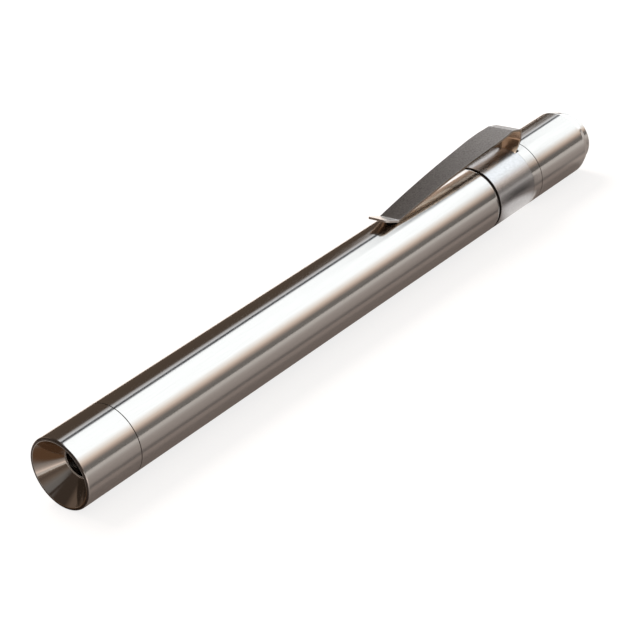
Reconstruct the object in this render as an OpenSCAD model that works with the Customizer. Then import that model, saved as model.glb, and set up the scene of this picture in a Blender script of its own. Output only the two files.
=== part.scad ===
// Slim metal penlight for two AAA cells: unscrewing head and tail cap, push
// switch in the tail, and a bent pocket clip held by a band behind the tube.
// The long axis is X, from the lamp's mouth at the low end to the button at the
// high end. The clip stands up along Z. The body's round side lies on Z = 0.

/* [Outside] */
// Length of the head, rim to seam
head_l = 11.95; // [10.5:0.05:16]
// Open groove between the tube's shoulder and the clip band
band_gap = 0.5; // [0.2:0.1:1]
// Length of the clip's band along the tube
band_l = 10.8; // [8:0.1:14]
// Length of the collar ring behind the band
collar_l = 2.75; // [2:0.05:5]
// How far the button stands out of the tail cap
button_out = 2.1; // [1.8:0.1:3]
// Width of the hairline seams in front of the tube and of the tail cap
seam = 0.05; // [0.02:0.01:0.2]

/* [Edges] */
// Radius of the head's front edge
rim_round = 0.35; // [0.1:0.05:0.45]
// Radius of the tube's rear shoulder
shoulder_round = 0.4; // [0.1:0.05:0.44]
// Radius of the small edges at the seams
seam_round = 0.06; // [0.02:0.01:0.1]
// Length of the tail cap's tapered end
cap_taper_l = 1.3; // [0.5:0.1:1.8]
// How far that taper draws in
cap_taper_in = 0.45; // [0.1:0.05:0.5]
// Radius of the button's outer edge
button_round = 0.45; // [0.1:0.05:0.8]
// Length of the relief in the collar's front edge, under the clip
collar_relief_l = 0.8; // [0.7:0.05:1.2]

/* [Bores and threads] */
// Radial clearance of the cells in the tube
cell_gap = 0.15; // [0.1:0.05:0.4]
// Wall of the tube's two threaded necks
neck_wall = 0.55; // [0.5:0.05:0.8]
// Wall of the head and of the tail cap round those necks
body_wall = 0.5; // [0.45:0.05:0.8]
// Length of the tube's threaded front neck
head_thread_l = 4; // [3:0.1:4.2]
// Length of the tube's threaded rear neck
cap_thread_l = 5; // [4:0.1:5.4]
// Pitch of both threads
thread_pitch = 1; // [0.5:0.25:1]
// Depth of the thread grooves
thread_depth = 0.2; // [0.1:0.05:0.25]
// Radial clearance of the threads
thread_gap = 0.05; // [0.02:0.01:0.08]
// Radial clearance of pressed and glued pieces
press_gap = 0.01; // [0.005:0.005:0.02]
// Clearance between pieces that rest on each other
rest_gap = 0.05; // [0.02:0.01:0.1]

/* [Reflector] */
// Width of the reflector's flat edge round the cone, at the rim
cone_edge_w = 0.09; // [0.05:0.01:0.4]
// Diameter of the cone at its floor
cone_throat_d = 6; // [5.6:0.1:8]
// Depth of the cone
cone_l = 4.2; // [3:0.1:5]
// Hole for the lamp in the reflector
lamp_hole_d = 5.3; // [5.2:0.05:5.8]
// Thickness of the flat washers under the head and the tail cap
washer_l = 0.75; // [0.5:0.05:0.8]

/* [Lamp] */
// Diameter of the lamp's clear lens
lamp_d = 5; // [4.8:0.05:5.1]
// Length of the lens, tip to flange
lamp_l = 8.6; // [8:0.1:9.5]
// How far the lens tip stands behind the reflector's floor
lamp_setback = 0.9; // [0.4:0.1:2]
// Diameter of the lamp's flange
lamp_flange_d = 5.8; // [5.5:0.1:6.2]
// Thickness of the lamp's flange
lamp_flange_l = 1; // [0.8:0.1:1.2]
// Side of the lamp's square legs
leg_w = 0.5; // [0.4:0.05:0.6]
// Distance between the two legs
leg_pitch = 2.54; // [2.4:0.01:2.7]

/* [Lamp module] */
// Wall of the module's brass shell
shell_wall = 0.45; // [0.3:0.05:0.6]
// Wall of the holder behind the lamp's flange
holder_back_l = 1.6; // [1:0.1:2]
// Thickness of the circuit board
board_l = 1; // [0.8:0.1:1.6]
// Diameter of the round coil on the board
coil_d = 3.6; // [3:0.1:4]
// Height of that coil
coil_l = 2.8; // [2:0.1:3.5]
// Width and length of the chip on the board
chip_w = 2.8; // [2:0.1:3]
// Height of the chip
chip_l = 1.1; // [0.8:0.1:1.5]
// Length of the parts space behind the board
parts_l = 5.2; // [4.2:0.1:6]
// Thickness of the insulating disc that closes the module
insulator_l = 1.5; // [1:0.1:2]
// Diameter of the front contact's head
contact_d = 4; // [3:0.1:5]
// Thickness of the front contact's head
contact_l = 0.8; // [0.5:0.1:1]
// Diameter of the front contact's shank
contact_shank_d = 1.6; // [1.2:0.1:2]
// Diameter of the contact wire
wire_d = 0.6; // [0.4:0.1:0.8]

/* [Cells] */
// Diameter of a AAA cell
cell_d = 10.5; // [9.5:0.05:12]
// Length of a AAA cell with its nub
cell_l = 44.5; // [40:0.1:50]
// Length of the cell's front cap, nub left out
cell_cap_l = 1.2; // [0.8:0.1:2]
// Diameter of the nub
nub_d = 3.8; // [3:0.1:4]
// Length of the nub
nub_l = 0.8; // [0.5:0.1:1]
// Thickness of the cell's metal can
can_wall = 0.35; // [0.2:0.05:0.5]
// Thickness of the cell's base plate
cell_base_l = 0.9; // [0.5:0.1:1.5]
// Diameter of the raised part of the base plate
cell_base_d = 6; // [4:0.1:8]

/* [Pocket clip] */
// Thickness of the clip's sheet
clip_sheet = 0.4; // [0.35:0.01:0.42]
// Width of the tab where it leaves the band
clip_root_w = 5.7; // [5:0.1:6]
// Width of the arm at its widest
clip_wide_w = 6.3; // [5.8:0.1:7]
// Width of the arm at its tip
clip_tip_w = 4.5; // [3.5:0.1:5.5]
// Distance of the tab's root in front of the band's rear edge
clip_root_in = 0.41; // [0.36:0.01:0.5]
// Length over which the tab flattens from the tube's curve
clip_flat_l = 4; // [3:0.1:4.6]
// Slope of the tab where it leaves the tube
clip_root_a = 42; // [40:1:44]
// Slope of the heel behind the tab
clip_heel_a = 73.5; // [71:0.5:75]
// Direction of the crest as it turns back forward
clip_crest_a = 164; // [162:0.5:166]
// Direction of the arm where it starts
clip_arm_a = 182.2; // [181:0.1:183]
// Bend radius between the band's curve and the tab
clip_root_r = 0.6; // [0.55:0.01:0.7]
// Outer bend radius between tab and heel
clip_heel_r = 1; // [0.6:0.1:1.2]
// Outer radius of the tight turn
clip_turn_r = 0.62; // [0.55:0.01:0.8]
// Outer bend radius of the crest
clip_crest_r = 3; // [2:0.1:4]
// Length of the tab
clip_tab_l = 2.52; // [2.44:0.02:2.7]
// Length of the heel
clip_heel_l = 1.32; // [1.3:0.02:1.6]
// Length of the crest
clip_crest_l = 1.97; // [1.8:0.01:2.2]
// Length of the arm
clip_arm_l = 34.5; // [30:0.1:44]
// Length of the turned-up lip
clip_lip_l = 3.65; // [2:0.05:6]
// Slope of the lip
clip_lip_a = 17; // [10:0.5:25]
// How much higher the arm's middle is than its edges
clip_crown = 0.1; // [0:0.01:0.15]
// Gap at the bend line where the arm is hinged
clip_hinge_gap = 0.1; // [0.06:0.01:0.15]

/* [Tail switch] */
// Width of the tail cap's end wall, from its outside to the button's hole
cap_rim_w = 1.08; // [1:0.02:1.6]
// Radial clearance of the button in the tail cap
button_gap = 0.05; // [0.02:0.01:0.1]
// Travel of the button
button_travel = 1.6; // [1:0.1:1.6]
// Free length that is left inside when the button is pressed
button_stop = 0.34; // [0.2:0.02:2]
// Length of the tail cap's end wall round the button
cap_lip_l = 1.9; // [1.9:0.1:2.2]
// Thickness of the button's inner flange
button_flange_l = 1.05; // [0.8:0.05:1.1]
// Thickness of the button's end wall and side wall
button_wall = 0.9; // [0.6:0.1:1.2]
// Length of the brass ring that holds the switch
retainer_l = 1.2; // [0.8:0.1:1.5]
// Length of the switch housing behind that ring
housing_l = 4.2; // [3.8:0.1:4.2]
// Radial clearance of the housing's nose in the tube
nose_gap = 0.4; // [0.3:0.05:0.6]
// Length of the nose
nose_l = 6.1; // [5.6:0.1:6.4]
// Wall between the housing's cavity and its ends
housing_wall = 0.9; // [0.6:0.1:1]
// Diameter of the housing's cavity
cavity_d = 5.2; // [5:0.1:6]
// Diameter of the plunger's stem
stem_d = 3; // [2.4:0.1:3.4]
// Diameter of the moving contact plate
plate_d = 4.6; // [4:0.1:4.8]
// Thickness of the switch's contact plates
plate_l = 0.5; // [0.3:0.05:0.6]
// How far the spring's seat stays inside the nose's outline
seat_in = 0.6; // [0.4:0.1:0.9]
// Thickness of that seat
seat_l = 0.8; // [0.5:0.1:1]

/* [Springs] */
// Length of the battery spring between the rear cell and its seat
battery_spring_l = 11.18; // [9:0.02:14]
// Wire of the battery spring
battery_wire_d = 0.7; // [0.5:0.05:0.8]
// Mean diameter of the battery spring
battery_spring_d = 6.4; // [5:0.1:7.4]
// Turns of the battery spring
battery_turns = 5; // [4:1:6]
// Wire of the button spring
button_wire_d = 0.5; // [0.4:0.05:0.6]
// Mean diameter of the button spring
button_spring_d = 6.4; // [5:0.1:7.4]
// Turns of the button spring
button_turns = 4; // [3:1:4]

/* [Hidden] */

$fn = 96;

// Radii of the turned pieces, from the cells outwards
cell_r = cell_d / 2;
tube_bore_r = cell_r + cell_gap;
thread_r = tube_bore_r + neck_wall;
cap_bore_r = thread_r + thread_gap;
body_r = cap_bore_r + body_wall;
clip_seat_r = body_r - clip_sheet;
band_neck_r = clip_seat_r - press_gap;
shell_r = tube_bore_r - press_gap;
shell_bore_r = shell_r - shell_wall;
module_r = shell_bore_r - press_gap;
lamp_hole_r = lamp_hole_d / 2;
nose_r = tube_bore_r - nose_gap;
button_hole_r = body_r - cap_rim_w;
button_r = button_hole_r - button_gap;

// Overrun of every cut
over = body_r / 25;

// Stations along the axis, from the rim back to the rear cell
tube_t = head_l + seam;
neck_front_t = tube_t - head_thread_l;
floor_t = cone_l;
reflector_end_t = neck_front_t - washer_l - 2 * rest_gap;
lamp_tip_t = floor_t + lamp_setback;
lamp_flange_t = lamp_tip_t + lamp_l - lamp_flange_l;
lamp_end_t = lamp_tip_t + lamp_l;
holder_end_t = lamp_end_t + holder_back_l;
board_t = holder_end_t + press_gap;
parts_t = board_t + board_l;
insulator_t = parts_t + parts_l;
contact_t = insulator_t + insulator_l;
front_cell_t = contact_t + contact_l + rest_gap;
rear_cell_t = front_cell_t + cell_l + rest_gap;
cells_end_t = rear_cell_t + cell_l;

// From the rear cell on, the spring and the switch set where the tube ends
seat_t = cells_end_t + rest_gap + battery_spring_l + press_gap;
nose_t = seat_t + seat_l + press_gap;
housing_t = nose_t + nose_l;
housing_end_t = housing_t + housing_l;
retainer_t = housing_t - press_gap - retainer_l;
neck_rear_t = retainer_t - 2 * rest_gap - washer_l;
cap_t = neck_rear_t - cap_thread_l;
collar_t = cap_t - seam - collar_l;
band_t = collar_t - band_l;
shoulder_t = band_t - band_gap;
flange_t = housing_end_t + button_travel + button_stop;
cap_wall_t = flange_t + button_flange_l + rest_gap;
cap_end_t = cap_wall_t + cap_lip_l;
overall_l = cap_end_t + button_out;
button_floor_t = overall_l - button_wall;

// Carries a shape made round the Z axis from the rim to its place along X
module place() {
    translate([-overall_l / 2, 0, body_r])
        rotate([0, 90, 0])
            children();
}

// A turned piece from an outline in radius and station
module turned() {
    place()
        rotate_extrude()
            children();
}

// A block of such an outline
module wall(r0, r1, t0, t1) {
    translate([r0, t0])
        square([r1 - r0, t1 - t0]);
}

// What a rounded edge takes off the outline's corner at r, t
module edge(r, t, size, side_r, side_t) {
    translate([r, t])
        scale([side_r, side_t])
            translate([-size, -size])
                difference() {
                    square(size + over);
                    circle(size);
                }
}

// What a chamfered edge takes off the outline's corner at r, t
module chamfer(r, t, in_r, in_t, side_t) {
    polygon([[r - in_r, t], [r - in_r - over, t - side_t * over],
             [r + over, t - side_t * over],
             [r + over, t + side_t * in_t], [r, t + side_t * in_t]]);
}

// Thread grooves of a neck from t0 to t1
module grooves(t0, t1) {
    count = floor((t1 - t0) / thread_pitch);
    lead = (t1 - t0 - count * thread_pitch) / 2;
    for (i = [0 : count - 1]) {
        t = t0 + lead + (i + 0.5) * thread_pitch;
        polygon([[thread_r + over, t - thread_pitch * 0.45],
                 [thread_r, t - thread_pitch * 0.4],
                 [thread_r - thread_depth, t - thread_pitch * 0.1],
                 [thread_r - thread_depth, t + thread_pitch * 0.1],
                 [thread_r, t + thread_pitch * 0.4],
                 [thread_r + over, t + thread_pitch * 0.45]]);
    }
}

// One closed skin over a row of rings that all have the same count of points.
// The ends are closed by a zigzag between the two halves of the ring.
module skin(rings) {
    n = len(rings);
    m = len(rings[0]);
    half = m / 2;
    sides = [for (i = [0 : n - 2]) for (j = [0 : m - 1])
             let(a = i * m + j, b = i * m + (j + 1) % m)
             each [[a, b, b + m], [a, b + m, a + m]]];
    ends = [for (e = [0, 1]) for (j = [0 : half - 2])
            let(base = e * (n - 1) * m, a = base + j, b = a + 1,
                c = base + m - 2 - j, d = c + 1)
            each (e == 0 ? [[b, a, c], [a, d, c]] : [[a, b, c], [a, c, d]])];
    polyhedron(points = [for (ring = rings) each ring],
               faces = [for (f = concat(sides, ends)) [f[0], f[2], f[1]]]);
}

// Rings of a coil spring round the Z axis, from z0 to z1
function coil_rings(d, wire, turns, z0, z1) =
    let(steps = turns * 16, r = d / 2, rise = z1 - z0 - wire,
        lean = atan(rise / turns / (PI * d)))
    [for (i = [0 : steps])
     let(a = i * 360 / 16, z = z0 + wire / 2 + rise * i / steps)
     [for (k = [0 : 5])
      let(b = k * 60, u = wire / 2 * cos(b), v = wire / 2 * sin(b))
      [(r + u) * cos(a) + v * sin(lean) * sin(a),
       (r + u) * sin(a) - v * sin(lean) * cos(a),
       z + v * cos(lean)]]];

module head_shell() {
    color("#b9b4ac")
        turned()
            difference() {
                wall(cap_bore_r, body_r, 0, head_l);
                edge(body_r, 0, rim_round, 1, -1);
                edge(body_r, head_l, seam_round, 1, 1);
            }
}

module reflector() {
    outer_r = cap_bore_r - press_gap;
    mouth_r = outer_r - cone_edge_w;
    color("#8f837a")
        turned()
            difference() {
                wall(lamp_hole_r, outer_r, 0, reflector_end_t);
                polygon([[0, -over], [mouth_r, -over], [mouth_r, 0],
                         [cone_throat_d / 2, floor_t], [0, floor_t]]);
            }
}

// The flat rubber washer behind the reflector
module head_washer() {
    t0 = reflector_end_t + rest_gap;
    color("#202020")
        turned()
            wall(tube_bore_r - thread_gap, thread_r, t0, t0 + washer_l);
}

module barrel_tube() {
    color("#c4bfb6")
        turned()
            difference() {
                union() {
                    wall(tube_bore_r, thread_r, neck_front_t, tube_t);
                    wall(tube_bore_r, body_r, tube_t, shoulder_t);
                    wall(tube_bore_r, band_neck_r, shoulder_t, cap_t - seam);
                    wall(tube_bore_r, thread_r, cap_t - seam, neck_rear_t);
                }
                edge(body_r, tube_t, seam_round, 1, -1);
                edge(body_r, shoulder_t, shoulder_round, 1, 1);
                grooves(neck_front_t, tube_t);
                grooves(cap_t, neck_rear_t);
            }
}

// The clear bullet lens, hollowed for the legs that are cast into it
module lamp_lens() {
    r = lamp_d / 2;
    color("#e8eef2")
        place()
            difference() {
                rotate_extrude()
                    union() {
                        difference() {
                            wall(0, r, lamp_tip_t, lamp_end_t);
                            edge(r, lamp_tip_t, r, 1, -1);
                        }
                        wall(0, lamp_flange_d / 2, lamp_flange_t, lamp_end_t);
                    }
                leg_pair(leg_w + 2 * press_gap, over);
            }
}

// The two legs with their cast-in heads, from the middle of the lens backwards
module leg_pair(w, back) {
    t0 = lamp_tip_t + lamp_d * 0.75;
    for (side = [-1, 1])
        translate([-w / 2, side * leg_pitch / 2 - w / 2, t0 - (w - leg_w) / 2])
            cube([w, w, lamp_end_t + back - t0 + (w - leg_w) / 2]);
}

module lamp_legs() {
    color("#b8b8b4")
        place()
            leg_pair(leg_w, parts_t - lamp_end_t);
}

module lamp_holder() {
    slot = leg_w + 2 * press_gap;
    front_t = neck_front_t + shell_wall;
    color("#e9e6dc")
        place()
            difference() {
                rotate_extrude()
                    difference() {
                        wall(0, module_r, front_t, holder_end_t);
                        wall(0, lamp_d / 2 + press_gap, front_t - over, lamp_end_t);
                        wall(0, lamp_flange_d / 2 + press_gap,
                             lamp_flange_t - press_gap, lamp_end_t);
                    }
                for (side = [-1, 1])
                    translate([-slot / 2, side * leg_pitch / 2 - slot / 2,
                               lamp_end_t - over])
                        cube([slot, slot, holder_back_l + 2 * over]);
            }
}

module module_shell() {
    color("#c8a45a")
        turned()
            wall(shell_bore_r, shell_r, neck_front_t + shell_wall, contact_t);
}

module driver_board() {
    slot = leg_w + 2 * press_gap;
    color("#2f6b46")
        place()
            difference() {
                translate([0, 0, board_t])
                    cylinder(r = module_r, h = board_l);
                for (side = [-1, 1])
                    translate([-slot / 2, side * leg_pitch / 2 - slot / 2,
                               board_t - over])
                        cube([slot, slot, board_l + 2 * over]);
            }
}

module board_coil() {
    color("#3a3a3c")
        place()
            translate([module_r / 2, 0, parts_t])
                rotate_extrude() {
                    wall(0, coil_d / 2, 0, coil_l / 5);
                    wall(0, coil_d * 0.42, coil_l / 5, coil_l * 4 / 5);
                    wall(0, coil_d / 2, coil_l * 4 / 5, coil_l);
                }
}

module board_chip() {
    color("#26262a")
        place()
            translate([-module_r / 2 - chip_w / 4, -chip_w / 2, parts_t]) {
                cube([chip_w / 2, chip_w, chip_l]);
                for (i = [0 : 2])
                    translate([-chip_w / 8, (i + 0.6) * chip_w / 3.4, 0])
                        cube([chip_w * 3 / 4, chip_w / 10, chip_l / 4]);
            }
}

module contact_wire() {
    color("#c9853f")
        place()
            translate([0, 0, parts_t])
                cylinder(d = wire_d, h = insulator_t - parts_t - contact_l);
}

module module_insulator() {
    color("#d8d3c4")
        turned()
            wall(contact_shank_d / 2 + press_gap, module_r, insulator_t, contact_t);
}

module front_contact() {
    color("#d2ab55")
        turned() {
            wall(0, contact_shank_d / 2, insulator_t - contact_l, contact_t);
            wall(0, contact_d / 2, contact_t, contact_t + contact_l);
        }
}

// A AAA cell from three pieces, the nub's end at station t
module cell_can(t) {
    t0 = t + nub_l + cell_cap_l;
    t1 = t + cell_l - cell_base_l;
    turned()
        difference() {
            wall(0, cell_r, t0, t1);
            wall(0, cell_r - can_wall, t1 - cell_base_l, t1 + over);
        }
}

module cell_cap(t) {
    turned()
        difference() {
            union() {
                wall(0, nub_d / 2, t, t + nub_l);
                wall(0, cell_r - can_wall, t + nub_l, t + nub_l + cell_cap_l);
            }
            edge(nub_d / 2, t, nub_l / 4, 1, -1);
            edge(cell_r - can_wall, t + nub_l, cell_cap_l / 2, 1, -1);
        }
}

module cell_base(t) {
    end_t = t + cell_l;
    turned() {
        wall(0, cell_r - can_wall - press_gap, end_t - 2 * cell_base_l,
             end_t - cell_base_l / 3);
        wall(0, cell_base_d / 2, end_t - cell_base_l / 3, end_t);
    }
}

module front_cell_can() {
    color("#5d6b78")
        cell_can(front_cell_t);
}

module front_cell_cap() {
    color("#c9c9c6")
        cell_cap(front_cell_t);
}

module front_cell_base() {
    color("#c9c9c6")
        cell_base(front_cell_t);
}

module rear_cell_can() {
    color("#5d6b78")
        cell_can(rear_cell_t);
}

module rear_cell_cap() {
    color("#c9c9c6")
        cell_cap(rear_cell_t);
}

module rear_cell_base() {
    color("#c9c9c6")
        cell_base(rear_cell_t);
}

// The clip's outer face, from its root on the band to the end of its lip. Each
// stretch is a bend with a radius, a signed angle and a count of steps, or a
// straight run with a radius of zero, a length and a count of steps.
clip_lip_r = 2 * clip_turn_r;

// Height over the axis of the sheet's inner face at a distance y to the side
function seat_h(y) = sqrt(pow(clip_seat_r, 2) - y * y);

// Height that a bend or a straight run of the outer face climbs
function bend_h(r, a0, a1) = r * (cos(a0) - cos(a1));
clip_crest_h = seat_h(clip_root_w / 2) + bend_h(clip_root_r, 0, clip_root_a)
    + clip_tab_l * sin(clip_root_a) + bend_h(clip_heel_r, clip_root_a, clip_heel_a)
    + clip_heel_l * sin(clip_heel_a) + bend_h(clip_turn_r, clip_heel_a, clip_crest_a)
    + clip_crest_l * sin(clip_crest_a) + bend_h(clip_crest_r, clip_crest_a, clip_arm_a);

// The arm's long radius brings its tip down onto the tube
clip_rest_h = body_r + clip_sheet + rest_gap - clip_crown;
clip_sag = clip_crest_h - clip_rest_h - clip_arm_l * sin(clip_arm_a - 180);
clip_arm_r = clip_arm_l * clip_arm_l / 2 / clip_sag;
clip_end_a = clip_arm_a + clip_arm_l / clip_arm_r * 180 / PI;
clip_bends = [[clip_root_r, clip_root_a, 6],
              [0, clip_tab_l, 4],
              [clip_heel_r, clip_heel_a - clip_root_a, 5],
              [0, clip_heel_l, 3],
              [clip_turn_r, clip_crest_a - clip_heel_a, 9],
              [0, clip_crest_l, 3],
              [clip_crest_r, clip_arm_a - clip_crest_a, 4],
              [clip_arm_r, clip_end_a - clip_arm_a, 12],
              [clip_lip_r, 180 - clip_lip_a - clip_end_a, 6],
              [0, clip_lip_l, 4]];

// The steps of one stretch: how far each goes and how much it turns
function stretch(b) = b[0] == 0
    ? [for (i = [1 : b[2]]) [b[1] / b[2], 0]]
    : [for (i = [1 : b[2]])
       [2 * b[0] * sin(abs(b[1]) / b[2] / 2), b[1] / b[2]]];
clip_steps = [for (b = clip_bends) each stretch(b)];

// Points along the run: station, height, direction and length so far
function clip_run(i, p, out) = i == len(clip_steps)
    ? concat(out, [p])
    : let(s = clip_steps[i], a = p[2] + s[1] / 2)
      clip_run(i + 1,
               [p[0] + s[0] * cos(a), p[1] + s[0] * sin(a), p[2] + s[1], p[3] + s[0]],
               concat(out, [p]));
clip_points = clip_run(0, [0, 0, 0, 0], []);
clip_length = clip_points[len(clip_points) - 1][3];

// Width along the run, by shares of its length
clip_width_shares = [[0, clip_root_w], [0.17, clip_root_w],
                     [0.24, clip_wide_w * 0.99], [0.3, clip_wide_w],
                     [0.36, clip_wide_w * 0.965], [0.43, clip_wide_w * 0.92],
                     [0.91, clip_tip_w], [0.98, clip_tip_w],
                     [1, clip_tip_w * 0.74]];
function clip_width(s) = lookup(s / clip_length, clip_width_shares);

// The cross-section at one point of the run. It is curved like the tube at the
// root, flattens over clip_flat_l, and is slightly crowned along the arm.
clip_columns = 6;
function clip_ring(p) =
    let(w = clip_width(p[3]), n = [-sin(p[2]), cos(p[2])],
        part = min(1, p[3] / clip_flat_l), fade = part * part * (3 - 2 * part),
        low = [for (j = [0 : clip_columns])
               let(side = 2 * j / clip_columns - 1, y = side * w / 2,
                   rise = (1 - fade) * (seat_h(y) - seat_h(w / 2)),
                   crown = fade * clip_crown * (1 - side * side))
               [p[0] - n[0] * crown, y, p[1] - n[1] * crown + rise]],
        high = [for (j = [0 : clip_columns])
                low[clip_columns - j] + clip_sheet * [n[0], 0, n[1]]])
    concat(low, high);

module clip_arm() {
    root_t = collar_t - clip_root_in;
    color("#a8a5a0")
        translate([root_t - overall_l / 2, 0, body_r + seat_h(clip_root_w / 2)])
            skin([for (p = clip_points) clip_ring(p)]);
}

// What is cut away from the band and the collar where the clip's tab leaves them
module tab_relief() {
    w = clip_root_w + clip_sheet;
    t0 = collar_t - clip_root_in - clip_hinge_gap;
    translate([t0 - overall_l / 2, -w / 2, body_r])
        cube([collar_t + seam + collar_relief_l - t0, w, body_r + over]);
}

module clip_band() {
    color("#98948e")
        difference() {
            turned()
                difference() {
                    wall(clip_seat_r, body_r, band_t, collar_t);
                    edge(body_r, band_t, seam_round, 1, -1);
                }
            tab_relief();
        }
}

module collar_ring() {
    color("#c4bfb6")
        difference() {
            turned()
                difference() {
                    wall(clip_seat_r, body_r, collar_t + seam, cap_t - seam);
                    edge(body_r, cap_t - seam, seam_round, 1, 1);
                }
            tab_relief();
        }
}

module tail_washer() {
    t0 = neck_rear_t + rest_gap;
    color("#202020")
        turned()
            wall(tube_bore_r - thread_gap, thread_r, t0, t0 + washer_l);
}

module tail_cap() {
    color("#c4bfb6")
        turned()
            difference() {
                wall(button_hole_r, body_r, cap_t, cap_end_t);
                wall(0, cap_bore_r, cap_t - over, cap_wall_t);
                chamfer(body_r, cap_end_t, cap_taper_in, cap_taper_l, -1);
                edge(body_r, cap_t, seam_round, 1, -1);
            }
}

module switch_retainer() {
    color("#c8a45a")
        turned()
            wall(nose_r + press_gap, cap_bore_r - press_gap,
                 retainer_t, retainer_t + retainer_l);
}

module switch_housing() {
    cavity_t = nose_t + nose_l / 2;
    color("#3a3a3a")
        turned()
            difference() {
                union() {
                    wall(0, nose_r, nose_t, housing_t);
                    wall(0, cap_bore_r - press_gap, housing_t, housing_end_t);
                }
                wall(0, cavity_d / 2, cavity_t, housing_end_t - housing_wall);
                wall(0, stem_d / 2 + button_gap, cavity_t, housing_end_t + over);
                wall(0, contact_shank_d / 2 + press_gap, nose_t - over, cavity_t + over);
            }
}

// The fixed contact: the spring's seat and the rivet through the nose
module switch_contact() {
    cavity_t = nose_t + nose_l / 2;
    color("#d2ab55")
        turned() {
            wall(0, nose_r - seat_in, seat_t, seat_t + seat_l);
            wall(0, contact_shank_d / 2, seat_t, cavity_t + plate_l);
        }
}

module battery_spring() {
    color("#b5b5b2")
        place()
            skin(coil_rings(battery_spring_d, battery_wire_d, battery_turns,
                            cells_end_t + rest_gap, seat_t - press_gap));
}

// The moving contact, carried by the plunger
plate_t = nose_t + nose_l / 2 + plate_l + button_travel + 2 * rest_gap;
module contact_plate() {
    color("#d2ab55")
        turned()
            wall(0, plate_d / 2, plate_t, plate_t + plate_l);
}

module switch_plunger() {
    color("#e9e6dc")
        turned()
            wall(0, stem_d / 2, plate_t + plate_l, button_floor_t - press_gap);
}

module button_spring() {
    color("#b5b5b2")
        place()
            skin(coil_rings(button_spring_d, button_wire_d, button_turns,
                            housing_end_t + rest_gap, button_floor_t - rest_gap));
}

module button() {
    color("#bdb8af")
        turned()
            difference() {
                union() {
                    wall(0, button_r, flange_t, overall_l);
                    wall(0, cap_bore_r - button_gap, flange_t,
                         flange_t + button_flange_l);
                }
                wall(0, button_r - button_wall, flange_t - over, button_floor_t);
                edge(button_r, overall_l, button_round, 1, 1);
            }
}

head_shell();
reflector();
head_washer();
barrel_tube();
lamp_lens();
lamp_legs();
lamp_holder();
module_shell();
driver_board();
board_coil();
board_chip();
contact_wire();
module_insulator();
front_contact();
front_cell_can();
front_cell_cap();
front_cell_base();
rear_cell_can();
rear_cell_cap();
rear_cell_base();
clip_band();
clip_arm();
collar_ring();
tail_washer();
tail_cap();
switch_retainer();
switch_housing();
switch_contact();
battery_spring();
contact_plate();
switch_plunger();
button_spring();
button();
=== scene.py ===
"""Dresses a two-cell penlight: turned steel body, sprung clip, lamp and tail button.

The CAD model is the fixed frame. The pieces that show are built again here at
the same sizes, with rounded edges and finishes, among them painted shade in the
seams and a painted reflection and highlight on the clip, and every piece rides on
the body that carries it. Lengths are in metres along the frame's X axis, which
runs from the lamp's mouth to the tail button.
"""

import math

import bmesh
import bpy
from bpy.props import (FloatProperty, FloatVectorProperty, IntProperty,
                       PointerProperty)
from mathutils import Matrix, Vector


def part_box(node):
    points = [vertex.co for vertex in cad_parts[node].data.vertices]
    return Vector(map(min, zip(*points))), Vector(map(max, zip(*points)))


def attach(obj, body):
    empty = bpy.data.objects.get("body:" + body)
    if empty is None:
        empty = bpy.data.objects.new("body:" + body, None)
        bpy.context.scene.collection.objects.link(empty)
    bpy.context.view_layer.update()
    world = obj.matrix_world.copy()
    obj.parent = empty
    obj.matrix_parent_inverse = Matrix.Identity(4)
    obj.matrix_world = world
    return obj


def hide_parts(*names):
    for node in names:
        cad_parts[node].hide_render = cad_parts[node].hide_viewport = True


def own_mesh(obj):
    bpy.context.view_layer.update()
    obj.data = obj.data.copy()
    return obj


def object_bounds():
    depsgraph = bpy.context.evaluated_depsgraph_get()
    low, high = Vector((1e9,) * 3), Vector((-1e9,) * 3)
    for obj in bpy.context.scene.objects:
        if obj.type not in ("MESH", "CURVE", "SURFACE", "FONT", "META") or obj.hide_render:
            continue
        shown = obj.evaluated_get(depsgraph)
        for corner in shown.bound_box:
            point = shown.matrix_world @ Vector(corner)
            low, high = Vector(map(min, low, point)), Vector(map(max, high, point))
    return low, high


bl_info = {
    "name": "Penlight",
    "version": (1, 0, 0),
    "blender": (4, 5, 0),
    "location": "3D View > Sidebar > Penlight",
    "description": "Builds the turned, bent and finished pieces of a penlight",
    "category": "Add Mesh",
}

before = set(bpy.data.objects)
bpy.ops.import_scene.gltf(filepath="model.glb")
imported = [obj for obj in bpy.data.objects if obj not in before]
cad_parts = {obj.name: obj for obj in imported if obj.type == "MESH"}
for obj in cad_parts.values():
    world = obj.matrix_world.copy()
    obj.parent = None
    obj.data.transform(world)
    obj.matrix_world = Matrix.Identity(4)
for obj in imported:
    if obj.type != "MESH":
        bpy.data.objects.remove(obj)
cad_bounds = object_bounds()

MM = 0.001
# A hair's width: the clearance between turned walls, and the flat tip of the lens
HAIR = 0.01 * MM
# Places closer than SAME count as one, and vertices closer than MERGE are joined
SAME = 1e-6
MERGE = 1e-8
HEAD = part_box("head_shell")
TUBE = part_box("barrel_tube")
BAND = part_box("clip_band")
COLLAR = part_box("collar_ring")
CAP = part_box("tail_cap")
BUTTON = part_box("button")
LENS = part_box("lamp_lens")
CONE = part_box("reflector")
RIM_X = HEAD[0].x
AXIS_Z = (HEAD[0].z + HEAD[1].z) / 2
BODY_R = (HEAD[1].z - HEAD[0].z) / 2


def radius_of(node):
    """Outer radius of a turned CAD node."""
    low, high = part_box(node)
    return (high.y - low.y) / 2


# Settings

def length(name, text, value):
    return FloatProperty(name=name, description=text, default=value * MM,
                         min=0.0, unit="LENGTH", subtype="DISTANCE", precision=6)


def colour(name, text, value):
    return FloatVectorProperty(name=name, description=text, default=value, size=3,
                               min=0.0, max=1.0, subtype="COLOR")


def amount(name, text, value, **limits):
    return FloatProperty(name=name, description=text, default=value, min=0.0, **limits)


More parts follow.
